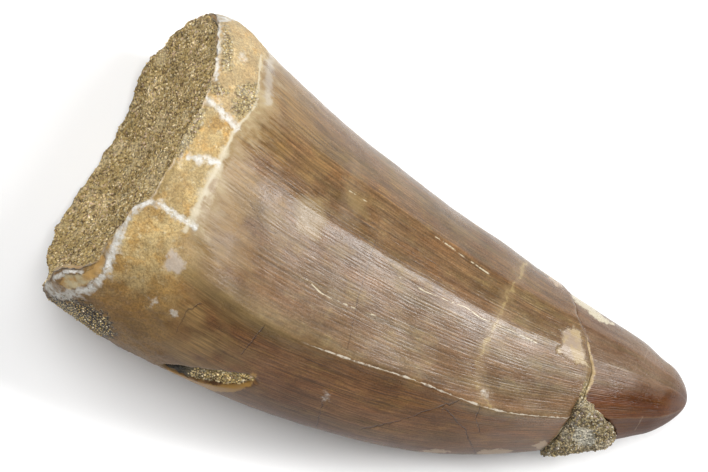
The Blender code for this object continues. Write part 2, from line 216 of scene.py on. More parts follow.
def lumps(points, spacing, octaves=1):
    """Smooth unevenness in space, from about -1 to 1, for points in millimetres."""
    flat = (points / spacing).reshape(-1, 3)
    if octaves == 1:
        values = [noise.noise(Vector(p)) for p in flat]
    else:
        values = [noise.fractal(Vector(p), 0.8, 2.1, octaves) for p in flat]
    return np.array(values).reshape(points.shape[:-1])


def rough(points, waves):
    """Unevenness of several waves together."""
    return sum(height * lumps(points, spacing) for height, spacing in waves)


def middle(x):
    """Points on the tooth's axis."""
    y = (curve(CONCAVE_EDGE, x) + curve(CONVEX_EDGE, x)) / 2
    z = (curve(TOP, x) + curve(UNDERSIDE, x)) / 2
    return np.stack([x, y, z], -1)


def skin(x, angle, out=0.0):
    """Points on the tooth's outside, with its ridges, moved outward by out."""
    x, angle = np.broadcast_arrays(x, angle)
    into_end = np.maximum(0.0, (x - TIP_END + TIP_ROUNDING) / TIP_ROUNDING)
    rounding = np.sqrt(np.maximum(0.0, 1 - into_end**2))
    half_width = (curve(CONCAVE_EDGE, x) - curve(CONVEX_EDGE, x)) / 2 * rounding
    half_height = (curve(TOP, x) - curve(UNDERSIDE, x)) / 2 * rounding
    turn = np.radians(angle)
    spoke = np.stack([0 * x, half_width * np.cos(turn), half_height * np.sin(turn)], -1)
    reach = np.linalg.norm(spoke, axis=-1)
    lift = np.zeros(x.shape)
    for crest, (share, width, start, full) in ridges(x):
        off = np.hypot((angle - crest + 180) % 360 - 180, 1.0)
        lift += share * half_height * ease(start, full, x) * np.exp(-off / width)
    lift += ENAMEL_STEP * ease(0, around(ENAMEL_STEP_WIDTH, angle), x - around(ENAMEL_LINE, angle))
    lift = (lift + out) * np.minimum(1, half_width / 3)
    return middle(x) + spoke * (1 + lift / np.maximum(reach, 1e-6))[..., None]


def ridges(x):
    """Each ridge's angle at x, and its form."""
    return [(curve(CUTTING_EDGE, x), CUTTING_EDGE_FORM)] + [(ridge[0], ridge[1:]) for ridge in OTHER_RIDGES]


def columns():
    """Angles of the lines of points along the tooth, closer together on the upper side."""
    upper = np.linspace(-12, 192, TOP_COLUMNS, endpoint=False)
    lower = np.linspace(192, 348, UNDER_COLUMNS, endpoint=False)
    return np.concatenate([upper, lower]) % 360


def closed_mesh(name, start, rings, end):
    """A closed mesh through rings of points in millimetres, which ends in a point at both ends."""
    count = rings.shape[1]
    rows = rings.shape[0]
    points = np.concatenate([rings.reshape(-1, 3), start[None], end[None]])
    points[:, 2] = np.maximum(points[:, 2], 0.0)
    i = np.arange(rows - 1)[:, None] * count
    j = np.arange(count)[None]
    k = (j + 1) % count
    quads = np.stack([i + j, i + k, i + count + k, i + count + j], -1).reshape(-1, 4)
    first, last = rows * count, rows * count + 1
    ring = np.arange(count)
    following = (ring + 1) % count
    offset = (rows - 1) * count
    caps = [(int(b), int(a), first) for a, b in zip(ring, following)]
    caps += [(int(offset + a), int(offset + b), last) for a, b in zip(ring, following)]
    mesh = bpy.data.meshes.new(name)
    mesh.from_pydata(((points - ORIGIN) * MM).tolist(), [], quads.tolist() + caps)
    mesh.shade_smooth()
    piece = bpy.data.objects.new(name, mesh)
    bpy.context.collection.objects.link(piece)
    return piece, points


def store(piece, name, values):
    """Keeps one number or one vector for each point of the piece."""
    values = np.asarray(values, dtype=np.float32)
    kind = "FLOAT_VECTOR" if values.ndim == 2 else "FLOAT"
    attribute = piece.data.attributes.new(name, kind, "POINT")
    attribute.data.foreach_set("vector" if values.ndim == 2 else "value", values.ravel())


def beside(paths, points, under):
    """Seen from above, how far each point is to the side of the nearest path, from it and along it."""
    side = np.full(len(points), 50.0)
    away = np.full(len(points), 50.0)
    along = np.zeros(len(points))
    for path in paths:
        travelled = 0.0
        for (x0, y0), (x1, y1) in zip(path, path[1:]):
            step = np.array([x1 - x0, y1 - y0])
            length = np.linalg.norm(step)
            rel = points[:, :2] - (x0, y0)
            t = rel @ step / length**2
            near = np.clip(t, 0, 1)
            distance = np.linalg.norm(rel - near[:, None] * step, axis=1)
            across = (step[0] * rel[:, 1] - step[1] * rel[:, 0]) / length
            nearer = distance < away
            away[nearer] = distance[nearer]
            side[nearer] = across[nearer]
            along[nearer] = (travelled + near * length)[nearer]
            travelled += length
    return np.stack([side, away + under, along], -1)


def outside_of(areas, points, under):
    """Seen from above, how far each point is outside the nearest of some areas, below zero inside it."""
    nearest = np.full(len(points), 50.0)
    for area in areas:
        closed = area + area[:1]
        inside = np.zeros(len(points), bool)
        edge = np.full(len(points), 50.0)
        for (x0, y0), (x1, y1) in zip(closed, closed[1:]):
            step = np.array([x1 - x0, y1 - y0])
            rel = points[:, :2] - (x0, y0)
            near = np.clip(rel @ step / (step @ step), 0, 1)
            edge = np.minimum(edge, np.linalg.norm(rel - near[:, None] * step, axis=1))
            crosses = (points[:, 1] < y0) != (points[:, 1] < y1)
            if y0 != y1:
                inside ^= crosses & (points[:, 0] < x0 + (points[:, 1] - y0) * step[0] / step[1])
        nearest = np.minimum(nearest, np.where(inside, -edge, edge))
    return nearest + under


def outside_of_chip(points):
    """How far each point is outside the chip's space, below zero inside it."""
    inner = np.array(CHIP_CORNERS)
    bm = bmesh.new()
    for corner in np.concatenate([inner, inner + CHIP_OUTWARD]):
        bm.verts.new(corner)
    bmesh.ops.convex_hull(bm, input=bm.verts)
    bmesh.ops.recalc_face_normals(bm, faces=bm.faces)
    bm.normal_update()
    nearest = np.full(points.shape[:-1], -50.0)
    for face in bm.faces:
        nearest = np.maximum(nearest, (points - np.array(face.verts[0].co)) @ np.array(face.normal))
    bm.free()
    return nearest


def outside_of_pocket(points):
    """How far each point is outside the pocket's mouth, as a share of half its width, below zero inside."""
    reach = POCKET_END - POCKET_START
    half = np.linalg.norm(reach) / 2
    lengthways = reach / (2 * half)
    rel = points - (POCKET_START + POCKET_END) / 2
    along = rel @ lengthways
    across = np.linalg.norm(rel - along[..., None] * lengthways, axis=-1)
    return np.hypot(along / half, across / POCKET_HALF_WIDTH) - 1


angles = columns()
rim = around(RIM, angles)
break_line = around(BREAK_LINE, angles)
edge_points = skin(break_line, angles)
break_line = break_line + rough(edge_points, BREAK_WAVES)
rim_points = skin(rim, angles)
rim = rim + rough(rim_points, RIM_WAVES)

share = np.linspace(0, 1, CROWN_ROWS)[:, None]
along = rim + (break_line - rim) * share
plain = skin(along, angles)
from_rim = along - rim
from_enamel = along - around(ENAMEL_LINE, angles)
bare = 1 - ease(-0.6, 0.9, from_enamel + 0.5 * lumps(plain, 1.5))
out = rough(plain, SKIN_WAVES)
out += bare * (0.10 * lumps(plain + 40, 1.7) + 0.09 * lumps(plain, 0.55, 3))
out -= (0.35 + 0.25 * lumps(plain, 0.8)) * (1 - ease(0.0, 0.8, from_rim))
out -= (0.12 + 0.12 * lumps(plain, 0.7)) * (1 - ease(0.0, 0.35, break_line - along))
out -= POCKET_DEPTH * ease(0.1, -0.25, outside_of_pocket(plain) + 0.10 * lumps(plain, 0.9))
out -= CHIP_DEPTH * ease(0.0, -0.35, outside_of_chip(plain) + 0.2 * lumps(plain, 0.7))
outside = skin(along, angles, out)

wall_share = around(WALL, angles)
wall = []
for depth, through, further in reversed(CAVITY):
    x = rim + (AXIS_START - rim) * depth / CAVITY_DEPTH + depth
    ring = middle(x) + (skin(x, angles) - middle(x)) * (1 - through * wall_share - further)[:, None]
    ring[:, 0] += 0.12 * lumps(ring, 0.6)
    wall.append(ring)
break_centre = middle(np.array([break_line.mean()]))[0]
break_rings = [break_centre + (outside[-1] - break_centre) * s for s in (0.985, 0.95, 0.6, 0.2)]
crown_rings = np.concatenate([np.array(wall), outside, np.array(break_rings)])
cavity_end = middle(np.array([AXIS_START + CAVITY_DEPTH]))[0]
crown, crown_points = closed_mesh("crown_enamel", cavity_end, crown_rings, break_centre)


def whole(values, before, after, end_value):
    """A value for every point of a closed mesh: rings before and after the outside repeat the nearest."""
    grid = np.concatenate([np.repeat(values[:1], before, 0), values, np.repeat(values[-1:], after, 0)])
    return np.concatenate([grid.ravel(), [end_value, end_value]])


def streak_space(x, angle):
    """Places on a round column of even thickness, so that lines run along the tooth from base to tip."""
    turn = np.radians(angle)
    return np.stack([x, STREAK_RADIUS * np.cos(turn), STREAK_RADIUS * np.sin(turn)], -1)


def past_upper_side(angle):
    """What is added to the distance from a mark, so that marks end on the sides of the tooth."""
    return UNDER_SLOPE * np.maximum(np.abs((angle - 90 + 180) % 360 - 180) - UPPER_SIDE, 0.0)


def from_cutting_edge(along, plain):
    """How far round the tooth each point is from the cutting edge, above zero towards the convex edge."""
    turn = (np.broadcast_to(angles, along.shape) - curve(CUTTING_EDGE, along) + 180) % 360 - 180
    return np.radians(turn) * np.linalg.norm(plain - middle(along), axis=-1)


before, after = len(wall), len(break_rings)
whole_angle = whole(np.broadcast_to(angles, along.shape), before, after, 90.0)
under = past_upper_side(whole_angle)

store(crown, "streak", streak_space(crown_points[:, 0], whole_angle))
store(crown, "from_rim", whole(from_rim, before, after, 0.0))
store(crown, "from_enamel", whole(from_enamel, before, after, 0.0))
store(crown, "from_break", whole(break_line - along, before, after, 0.0))
into_wall = [2.0 if further else through for _, through, further in reversed(CAVITY)]
into_wall = np.repeat(into_wall, len(angles))
into_wall = np.concatenate([into_wall, np.zeros(len(crown_points) - len(into_wall))])
into_wall[-2] = 2.0
store(crown, "into_wall", into_wall)
store(crown, "below_crest", whole(from_cutting_edge(along, plain), before, after, 50.0))
lines = {
    "veins": VEINS, "white_rim": WHITE_RIM, "second_rim": SECOND_RIM, "enamel_edge": ENAMEL_EDGE,
    "bluish_patch": BLUISH_PATCH, "faint_cracks": FAINT_CRACKS, "dark_cracks": DARK_CRACKS,
    "pale_dashes": PALE_DASHES, "gold_band": GOLD_BAND, "faint_band": FAINT_BAND}
for name, paths in lines.items():
    store(crown, name, beside(paths, crown_points, under))
store(crown, "pale_spots", beside(PALE_SPOTS, crown_points, under)[:, 1])
patches = {
    "ledge": LEDGE, "white_corner": WHITE_CORNER, "golden_blotches": GOLDEN_BLOTCHES,
    "pocket_lip": POCKET_LIP, "flakes": FLAKES, "lavender": LAVENDER_CHIP, "window": WINDOW,
    "sandy": SANDY_PLACES, "dark_sand": DARK_SAND}
off_patch = {name: outside_of(areas, crown_points, under) for name, areas in patches.items()}
for name, distance in off_patch.items():
    store(crown, name, distance)
store(crown, "cover", ease(0.1, -0.2, np.minimum(off_patch["sandy"], off_patch["dark_sand"])))
store(crown, "pocket", whole(outside_of_pocket(plain), before, after, 50.0))


def add(tree, kind, inputs=None, **settings):
    """A new shader node. Each input is given a value, or a socket to join."""
    node = tree.nodes.new("ShaderNode" + kind)
    for name, value in settings.items():
        setattr(node, name, value)
    for place, value in (inputs or {}).items():
        if isinstance(value, bpy.types.NodeSocket):
            tree.links.new(value, node.inputs[place])
        elif isinstance(value, tuple) and len(value) == 3 and len(node.inputs[place].default_value) == 4:
            node.inputs[place].default_value = (*value, 1)
        else:
            node.inputs[place].default_value = value
    return node


def calc(tree, operation, a, b=0.0):
    """The result of one step of arithmetic."""
    return add(tree, "Math", {0: a, 1: b}, operation=operation).outputs[0]


def rise(tree, value, low, high, bottom=0.0, top=1.0):
    """Goes smoothly from bottom to top as the value goes from low to high."""
    limits = {"Value": value, "From Min": low, "From Max": high, "To Min": bottom, "To Max": top}
    return add(tree, "MapRange", limits, interpolation_type="SMOOTHSTEP").outputs["Result"]


def cloud(tree, place, size, detail=2.0, roughness=0.5):
    """Uneven values round 0.5, with features of a size in millimetres, or of three sizes."""
    if isinstance(size, tuple):
        finer = tuple(1 / s for s in size)
        place = add(tree, "VectorMath", {0: place, 1: finer}, operation="MULTIPLY").outputs[0]
        size = 1.0
    values = {"Vector": place, "Scale": 1 / size, "Detail": detail, "Roughness": roughness}
    return add(tree, "TexNoise", values).outputs["Fac"]


def blend(tree, factor, one, two, kind="MIX"):
    """Colour one where the factor is 0 and colour two where it is 1."""
    node = add(tree, "Mix", {0: factor, 6: one, 7: two}, data_type="RGBA", blend_type=kind)
    return node.outputs[2]


def times(tree, colour, factor):
    """The colour multiplied by a value or by another colour."""
    return blend(tree, 1.0, colour, factor, "MULTIPLY")


def between(tree, factor, one, two):
    """Value one where the factor is 0 and value two where it is 1."""
    return add(tree, "Mix", {0: factor, 2: one, 3: two}, data_type="FLOAT").outputs[0]


def jitter(tree, place, size, detail=2.0, roughness=0.5):
    """Uneven values round 0."""
    return calc(tree, "SUBTRACT", cloud(tree, place, size, detail, roughness), 0.5)


def stored(tree, name, output="Fac"):
    """What the piece keeps under a name."""
    return add(tree, "Attribute", attribute_name=name).outputs[output]


def place_in_mm(tree):
    """Places on the object in millimetres."""
    coordinates = add(tree, "TexCoord").outputs["Object"]
    return add(tree, "VectorMath", {0: coordinates, "Scale": 1 / MM}, operation="SCALE").outputs[0]


def new_group(name, inputs, outputs):
    """A node group with named inputs and outputs, and its two end nodes."""
    kinds = {"vector": "NodeSocketVector", "value": "NodeSocketFloat", "colour": "NodeSocketColor"}
    tree = bpy.data.node_groups.new(name, "ShaderNodeTree")
    for title, kind in inputs:
        tree.interface.new_socket(title, in_out="INPUT", socket_type=kinds[kind])
    for title, kind in outputs:
        tree.interface.new_socket(title, in_out="OUTPUT", socket_type=kinds[kind])
    return tree, tree.nodes.new("NodeGroupInput").outputs, tree.nodes.new("NodeGroupOutput").inputs


def use(tree, group, inputs):
    """The outputs of a node group placed in a tree."""
    node = tree.nodes.new("ShaderNodeGroup")
    node.node_tree = group
    for title, value in inputs.items():
        if isinstance(value, bpy.types.NodeSocket):
            tree.links.new(value, node.inputs[title])
        elif isinstance(value, tuple) and len(node.inputs[title].default_value) == 4:
            node.inputs[title].default_value = (*value, 1)
        else:
            node.inputs[title].default_value = value
    return node.outputs


def new_material(name, roughness, ior=1.5):
    """A material, its node tree and its surface."""
    material = bpy.data.materials.new(name)
    material.use_nodes = True
    surface = material.node_tree.nodes["Principled BSDF"]
    surface.inputs["Roughness"].default_value = roughness
    surface.inputs["IOR"].default_value = ior
    return material, material.node_tree, surface


def finish_surface(tree, surface, colour, height, roughness=None):
    """Joins the colour, the height in millimetres and the roughness to the surface."""
    tree.links.new(colour, surface.inputs["Base Color"])
    bump = add(tree, "Bump", {"Height": height, "Distance": MM, "Strength": 1.0})
    tree.links.new(bump.outputs["Normal"], surface.inputs["Normal"])
    if roughness is not None:
        tree.links.new(roughness, surface.inputs["Roughness"])


# A line along a path kept on the piece: its sides wander, and it ends where the path ends
line_group, given, result = new_group(
    "wandering_line",
    [("Path", "vector"), ("Place", "vector"), ("Half Width", "value"), ("Softness", "value"),
     ("Wander", "value"), ("Size", "value")],
    [("Mask", "value")])
g = line_group
parts = add(g, "SeparateXYZ", {0: given["Path"]}).outputs
line_scale = calc(g, "DIVIDE", 1.0, given["Size"])
bend = add(g, "TexNoise", {"Vector": given["Place"], "Scale": line_scale, "Detail": 2.0}).outputs["Fac"]
bend = calc(g, "MULTIPLY", calc(g, "SUBTRACT", bend, 0.5), given["Wander"])
off_line = calc(g, "ABSOLUTE", calc(g, "ADD", parts["X"], bend))
width = calc(g, "MULTIPLY", given["Half Width"], rise(g, cloud(g, given["Place"], 0.9), 0.3, 0.7, 0.5, 1.5))
on_line = add(g, "MapRange", {
    "Value": off_line, "From Min": calc(g, "MULTIPLY", width, calc(g, "ADD", 1.0, given["Softness"])),
    "From Max": calc(g, "MULTIPLY", width, calc(g, "SUBTRACT", 1.0, given["Softness"]))},
    interpolation_type="SMOOTHSTEP").outputs["Result"]
limit = calc(g, "MULTIPLY", given["Half Width"], 2.0)
limit = calc(g, "ADD", limit, calc(g, "MULTIPLY", given["Wander"], 0.6))
near = calc(g, "SUBTRACT", calc(g, "ADD", limit, 0.3), parts["Y"])
g.links.new(calc(g, "MULTIPLY", on_line, rise(g, near, 0.0, 0.3)), result["Mask"])

# Enamel turned to stone: brown with golden blotches, and fine even grooves from base to tip
LINES_ROUND = 226.0
enamel_group, given, result = new_group(
    "fossil_enamel",
    [("Streak", "vector"), ("Place", "vector"), ("Brown", "colour"), ("Dark", "colour"), ("Gold", "colour"),
     ("Gold Amount", "value")],
    [("Colour", "colour"), ("Height", "value"), ("Roughness", "value")])
g = enamel_group
parts = add(g, "SeparateXYZ", {0: given["Streak"]}).outputs
turn = calc(g, "ARCTAN2", parts["Z"], parts["Y"])
drift = calc(g, "MULTIPLY", cloud(g, given["Streak"], (14.0, 1.6, 1.6), 2.0), 11.0)
grooves = calc(g, "SINE", calc(g, "ADD", calc(g, "MULTIPLY", turn, LINES_ROUND), drift))
strength = rise(g, cloud(g, given["Streak"], (2.4, 0.5, 0.5), 3.0, 0.6), 0.32, 0.68, 0.0, 1.0)
grooves = calc(g, "MULTIPLY", grooves, strength)
fine = cloud(g, given["Streak"], (6.0, 0.26, 0.26), 3.0, 0.65)
broken = cloud(g, given["Streak"], (1.1, 0.17, 0.17), 2.0, 0.6)
medium = cloud(g, given["Streak"], (16.0, 1.5, 1.5), 2.0)
blotch = cloud(g, given["Place"], 6.0, 4.0, 0.6)
mottle = cloud(g, given["Place"], 2.4, 5.0, 0.68)
speck = cloud(g, given["Place"], 0.3, 3.0, 0.65)
shade = calc(g, "ADD", calc(g, "MULTIPLY", blotch, 0.7), calc(g, "MULTIPLY", medium, 0.3))
colour = blend(g, rise(g, shade, 0.36, 0.62), given["Dark"], given["Brown"])
golden = calc(g, "MULTIPLY", rise(g, mottle, 0.50, 0.68), given["Gold Amount"])
colour = blend(g, golden, colour, given["Gold"])
zones = cloud(g, given["Streak"], (9.0, 1.9, 1.9), 3.0, 0.6)
greener = times(g, colour, (0.97, 1.05, 1.01))
redder = times(g, colour, (1.02, 0.94, 0.88))
colour = blend(g, rise(g, zones, 0.50, 0.62), colour, greener)
colour = blend(g, rise(g, zones, 0.48, 0.36), colour, redder)
grit = cloud(g, given["Place"], 0.17, 2.0, 0.7)
colour = times(g, colour, rise(g, grooves, -1.0, 1.0, 0.93, 1.07))
colour = times(g, colour, rise(g, fine, 0.3, 0.7, 0.78, 1.22))
colour = times(g, colour, rise(g, broken, 0.3, 0.7, 0.88, 1.12))
colour = times(g, colour, rise(g, grit, 0.3, 0.7, 0.80, 1.20))
colour = blend(g, rise(g, speck, 0.66, 0.76, 0.0, 0.45), colour, given["Gold"])
g.links.new(colour, result["Colour"])
height = calc(g, "MULTIPLY", grooves, 0.003)
height = calc(g, "ADD", height, calc(g, "MULTIPLY", fine, 0.018))
height = calc(g, "ADD", height, calc(g, "MULTIPLY", broken, 0.016))
height = calc(g, "ADD", height, calc(g, "MULTIPLY", medium, 0.03))
height = calc(g, "ADD", height, calc(g, "MULTIPLY", speck, 0.012))
g.links.new(height, result["Height"])
g.links.new(rise(g, mottle, 0.35, 0.7, 0.25, 0.37), result["Roughness"])


def drifting(tree, place, colour):
    """The colour of sand with paler and darker places some millimetres wide."""
    drift = cloud(tree, place, 3.5, 3.0, 0.6)
    colour = blend(tree, rise(tree, drift, 0.52, 0.66, 0.0, 0.6), colour, (0.55, 0.48, 0.33))
    return times(tree, colour, rise(tree, drift, 0.3, 0.5, 0.80, 1.0))


# Sand in a hard matrix: close grains of brown, gold, cream and pink, some dark, with dark gaps between
sand_group, given, result = new_group(
    "sandy_matrix", [("Place", "vector"), ("Size", "value"), ("Tint", "colour")],
    [("Colour", "colour"), ("Height", "value")])
g = sand_group
cells = add(g, "TexVoronoi", {
    "Vector": given["Place"], "Scale": calc(g, "DIVIDE", 1.0, given["Size"]), "Randomness": 1.0})
tone = add(g, "SeparateColor", {0: cells.outputs["Color"]}).outputs
colour = blend(g, rise(g, tone["Red"], 0.05, 0.3), (0.17, 0.115, 0.055), (0.36, 0.275, 0.125))
colour = blend(g, rise(g, tone["Red"], 0.5, 0.75), colour, (0.44, 0.355, 0.18))
colour = blend(g, rise(g, tone["Green"], 0.80, 0.9), colour, (0.62, 0.545, 0.385))
colour = blend(g, rise(g, tone["Blue"], 0.90, 0.95), colour, (0.52, 0.40, 0.30))
colour = drifting(g, given["Place"], colour)
gaps = rise(g, cells.outputs["Distance"], 0.40, 0.85, 1.0, 0.36)
colour = times(g, colour, gaps)
colour = times(g, colour, given["Tint"])
g.links.new(colour, result["Colour"])
gritty = cloud(g, given["Place"], 0.22, 3.0, 0.7)
height = rise(g, cells.outputs["Distance"], 0.0, 0.9, 0.16, 0.0)
g.links.new(calc(g, "ADD", height, calc(g, "MULTIPLY", gritty, 0.06)), result["Height"])

# White calcite: nearly white, faintly blue, sugary and uneven
calcite_group, given, result = new_group(
    "calcite", [("Place", "vector")], [("Colour", "colour"), ("Height", "value")])
g = calcite_group
mottle = cloud(g, given["Place"], 0.6, 4.0, 0.65)
colour = blend(g, rise(g, mottle, 0.35, 0.62), (0.50, 0.46, 0.39), (0.66, 0.65, 0.61))
g.links.new(colour, result["Colour"])
g.links.new(calc(g, "MULTIPLY", cloud(g, given["Place"], 0.3, 3.0, 0.7), 0.12), result["Height"])

material, tree, surface = new_material("crown_enamel", 0.4, 1.45)
place = place_in_mm(tree)
streak = stored(tree, "streak", "Vector")
below_crest = stored(tree, "below_crest")
from_enamel = stored(tree, "from_enamel")
from_rim = stored(tree, "from_rim")
from_break = stored(tree, "from_break")
across = add(tree, "SeparateXYZ", {0: place}).outputs["Y"]
waver = jitter(tree, place, 1.6, 3.0, 0.55)
fray = jitter(tree, place, 0.5, 3.0, 0.6)


def wavered(tree, value, unevenness, amount):
    """The value moved up and down by some unevenness."""
    return calc(tree, "ADD", value, calc(tree, "MULTIPLY", unevenness, amount))


def patch(tree, name, unevenness, amount, outer, inner):
    """Where a patch lies that the piece keeps under a name: from 0 at outer to 1 at inner."""
    return rise(tree, wavered(tree, stored(tree, name), unevenness, amount), outer, inner)


def any_of(tree, *masks):
    """The strongest of all masks."""
    strongest = masks[0]
    for mask in masks[1:]:
        strongest = calc(tree, "MAXIMUM", strongest, mask)
    return strongest


def masked(tree, *masks):
    """All masks together."""
    product = masks[0]
    for mask in masks[1:]:
        product = calc(tree, "MULTIPLY", product, mask)
    return product


def line(tree, name, half_width, softness, wander, size):
    """Where a line runs along a path that the piece keeps under a name."""
    return use(tree, line_group, {
        "Path": stored(tree, name, "Vector"), "Place": place_in_mm(tree), "Half Width": half_width,
        "Softness": softness, "Wander": wander, "Size": size})["Mask"]


enamel = use(tree, enamel_group, {
    "Streak": streak, "Place": place, "Brown": (0.172, 0.104, 0.054), "Dark": (0.118, 0.066, 0.031),
    "Gold": (0.22, 0.148, 0.058), "Gold Amount": 0.42})
colour = enamel["Colour"]
height = enamel["Height"]
roughness = enamel["Roughness"]

# Below the cutting edge the enamel is darker and redder: partly its own colour, partly painted shade on the
# side turned away from the light. Near the base it is golden, and olive beside the cutting edge. The flanks
# are scored with fine lines.
lower = rise(tree, below_crest, -0.2, 1.6)
colour = blend(tree, lower, colour, (0.87, 0.68, 0.50), "MULTIPLY")
near_base = rise(tree, from_enamel, 12.0, 2.0)
basal = masked(tree, near_base, rise(tree, cloud(tree, place, 3.5, 3.0), 0.35, 0.6), 0.75)
streaks = rise(tree, cloud(tree, streak, (3.5, 0.3, 0.3), 4.0, 0.7), 0.3, 0.7, 0.72, 1.28)
colour = blend(tree, basal, colour, times(tree, streaks, (0.24, 0.150, 0.056)))
beside_crest = rise(tree, calc(tree, "ABSOLUTE", below_crest), 2.0, 0.2)
olive = masked(tree, beside_crest, rise(tree, from_enamel, 24.0, 10.0), 0.35)
colour = blend(tree, olive, colour, times(tree, streaks, (0.215, 0.150, 0.062)))

# Darker and less blue still towards the convex edge: partly its own colour, partly painted shade.
far_down = rise(tree, below_crest, 9.0, 19.0)
colour = blend(tree, far_down, colour, (0.86, 0.68, 0.42), "MULTIPLY")
gold_places = rise(tree, cloud(tree, place, 2.2, 3.0), 0.48, 0.56)
gold_edge = masked(tree, rise(tree, below_crest, 15.0, 18.5), gold_places, 0.6)
colour = blend(tree, gold_edge, colour, (0.21, 0.128, 0.030))
roughness = between(tree, rise(tree, below_crest, 0.0, 8.0), roughness, 0.55)
upper = rise(tree, below_crest, -6.5, -10.5)
scored = cloud(tree, streak, (4.0, 0.2, 0.2), 3.0, 0.7)
scored = rise(tree, scored, 0.3, 0.7, 0.68, 1.34)
flanks = calc(tree, "ADD", upper, lower)
colour = blend(tree, flanks, colour, scored, "MULTIPLY")
# The upper flank is made darker and less blue: partly its own colour, partly painted shade that tones down
# the light it reflects.
colour = blend(tree, upper, colour, (0.92, 0.86, 0.72), "MULTIPLY")

# Bands across the crown, then pale dashes on the facet edges, the chalky cutting edge, and cracks
band = line(tree, "gold_band", half_width=0.6, softness=0.95, wander=1.2, size=1.8)
colour = blend(tree, masked(tree, band, 0.3), colour, (0.28, 0.19, 0.095))
stain = line(tree, "gold_band", half_width=0.17, softness=0.9, wander=1.5, size=1.1)
stain_breaks = rise(tree, cloud(tree, place, 1.7, 3.0, 0.6), 0.42, 0.60, 0.05, 0.72)
colour = blend(tree, masked(tree, stain, stain_breaks), colour, (0.33, 0.24, 0.105))
band = line(tree, "faint_band", half_width=0.9, softness=0.9, wander=1.5, size=2.0)
colour = blend(tree, masked(tree, band, 0.2), colour, (0.27, 0.20, 0.13))
blotches = patch(tree, "golden_blotches", waver, 2.4, 0.6, -0.6)
colour = blend(tree, masked(tree, blotches, 0.6), colour, (0.23, 0.158, 0.066))
dashes = line(tree, "pale_dashes", half_width=0.05, softness=0.6, wander=0.12, size=1.5)
dash_breaks = rise(tree, cloud(tree, place, 1.2, 3.0, 0.7), 0.44, 0.54)
colour = blend(tree, masked(tree, dashes, dash_breaks, 0.9), colour, (0.50, 0.43, 0.30))
off_crest = calc(tree, "ABSOLUTE", wavered(tree, below_crest, fray, 0.22))
crest_width = rise(tree, cloud(tree, place, 1.3, 2.0), 0.35, 0.7, 0.02, 0.11)
crest_line = rise(tree, calc(tree, "SUBTRACT", off_crest, crest_width), 0.05, -0.04)
crest_wear = rise(tree, fray, -0.12, 0.02, 0.25, 0.9)
crest_line = masked(tree, crest_line, rise(tree, from_enamel, 14.5, 17.0), crest_wear)
colour = blend(tree, crest_line, colour, (0.54, 0.48, 0.39))
cracks = line(tree, "dark_cracks", half_width=0.055, softness=0.7, wander=0.6, size=0.8)
colour = blend(tree, masked(tree, cracks, 0.7), colour, (0.040, 0.018, 0.010))
faint_cracks = line(tree, "faint_cracks", half_width=0.05, softness=0.6, wander=0.5, size=0.9)
colour = blend(tree, masked(tree, faint_cracks, 0.5), colour, (0.05, 0.026, 0.015))
height = calc(tree, "SUBTRACT", height, masked(tree, cracks, 0.04))

# The margin of the enamel is worn to cream
margin_place = wavered(tree, from_enamel, waver, 1.4)
uneven = jitter(tree, streak, (4.0, 1.4, 1.4), 3.0, 0.6)
margin = rise(tree, wavered(tree, margin_place, uneven, 6.0), 3.0, 0.3)
margin = masked(tree, margin, rise(tree, across, -7.0, -3.0, 0.0, 1.0))
paler = rise(tree, cloud(tree, place, 1.8, 4.0, 0.6), 0.4, 0.6)
cream = blend(tree, paler, (0.27, 0.185, 0.085), (0.39, 0.305, 0.175))
colour = blend(tree, margin, colour, cream)
pale_streaks = rise(tree, cloud(tree, streak, (3.0, 0.35, 0.35), 3.0, 0.6), 0.50, 0.60)
near_margin = rise(tree, from_enamel, 5.5, 1.5)
pale_streaks = masked(tree, pale_streaks, near_margin, rise(tree, across, -6.0, -2.5), 0.6)
colour = blend(tree, pale_streaks, colour, (0.31, 0.22, 0.12))

# The bare dentine is golden and speckled, cream in its middle and brown at its lower end, where it passes
# slowly into the enamel
line_softness = rise(tree, across, -2.5, -6.5, 0.18, 4.5)
bare_mask = rise(tree, margin_place, line_softness, calc(tree, "MULTIPLY", line_softness, -0.7))
speckle = cloud(tree, place, 0.24, 3.0, 0.7)
sugar = cloud(tree, place, 0.7, 4.0, 0.7)
golden = cloud(tree, place, 2.2, 4.0, 0.62)
dentine = blend(tree, rise(tree, golden, 0.38, 0.6), (0.34, 0.205, 0.062), (0.42, 0.305, 0.135))
creamy = masked(tree, rise(tree, across, -3.4, -1.6), rise(tree, across, 6.6, 4.8), 0.55)
creamy = masked(tree, creamy, rise(tree, cloud(tree, place, 1.7, 3.0, 0.6), 0.36, 0.56, 0.45, 1.25))
dentine = blend(tree, creamy, dentine, (0.41, 0.295, 0.125))
upper_block = rise(tree, across, 8.0, 9.5)
dentine = blend(tree, masked(tree, upper_block, 0.6), dentine, (0.43, 0.325, 0.18))
orange = rise(tree, cloud(tree, place, 1.3, 3.0, 0.6), 0.55, 0.66, 0.0, 0.55)
dentine = blend(tree, orange, dentine, (0.42, 0.245, 0.070))
dentine = blend(tree, rise(tree, sugar, 0.54, 0.7, 0.0, 0.65), dentine, (0.54, 0.455, 0.28))
brown_low = rise(tree, wavered(tree, across, waver, 6.0), -7.5, -13.5, 0.0, 0.88)
dentine = blend(tree, brown_low, dentine, (0.172, 0.088, 0.022))
dentine = times(tree, dentine, rise(tree, speckle, 0.32, 0.68, 0.70, 1.26))
pits = masked(tree, rise(tree, speckle, 0.36, 0.30), rise(tree, across, -1.0, -3.0), 0.7)
dentine = blend(tree, pits, dentine, (0.13, 0.07, 0.022))
clouded = cloud(tree, place, 2.6, 2.0, 0.5)
dentine = times(tree, dentine, rise(tree, clouded, 0.35, 0.65, 0.86, 1.12))
colour = blend(tree, bare_mask, colour, dentine)
dentine_height = calc(tree, "ADD", masked(tree, sugar, 0.08), masked(tree, speckle, 0.05))
height = between(tree, bare_mask, height, dentine_height)
roughness = between(tree, bare_mask, roughness, 0.62)

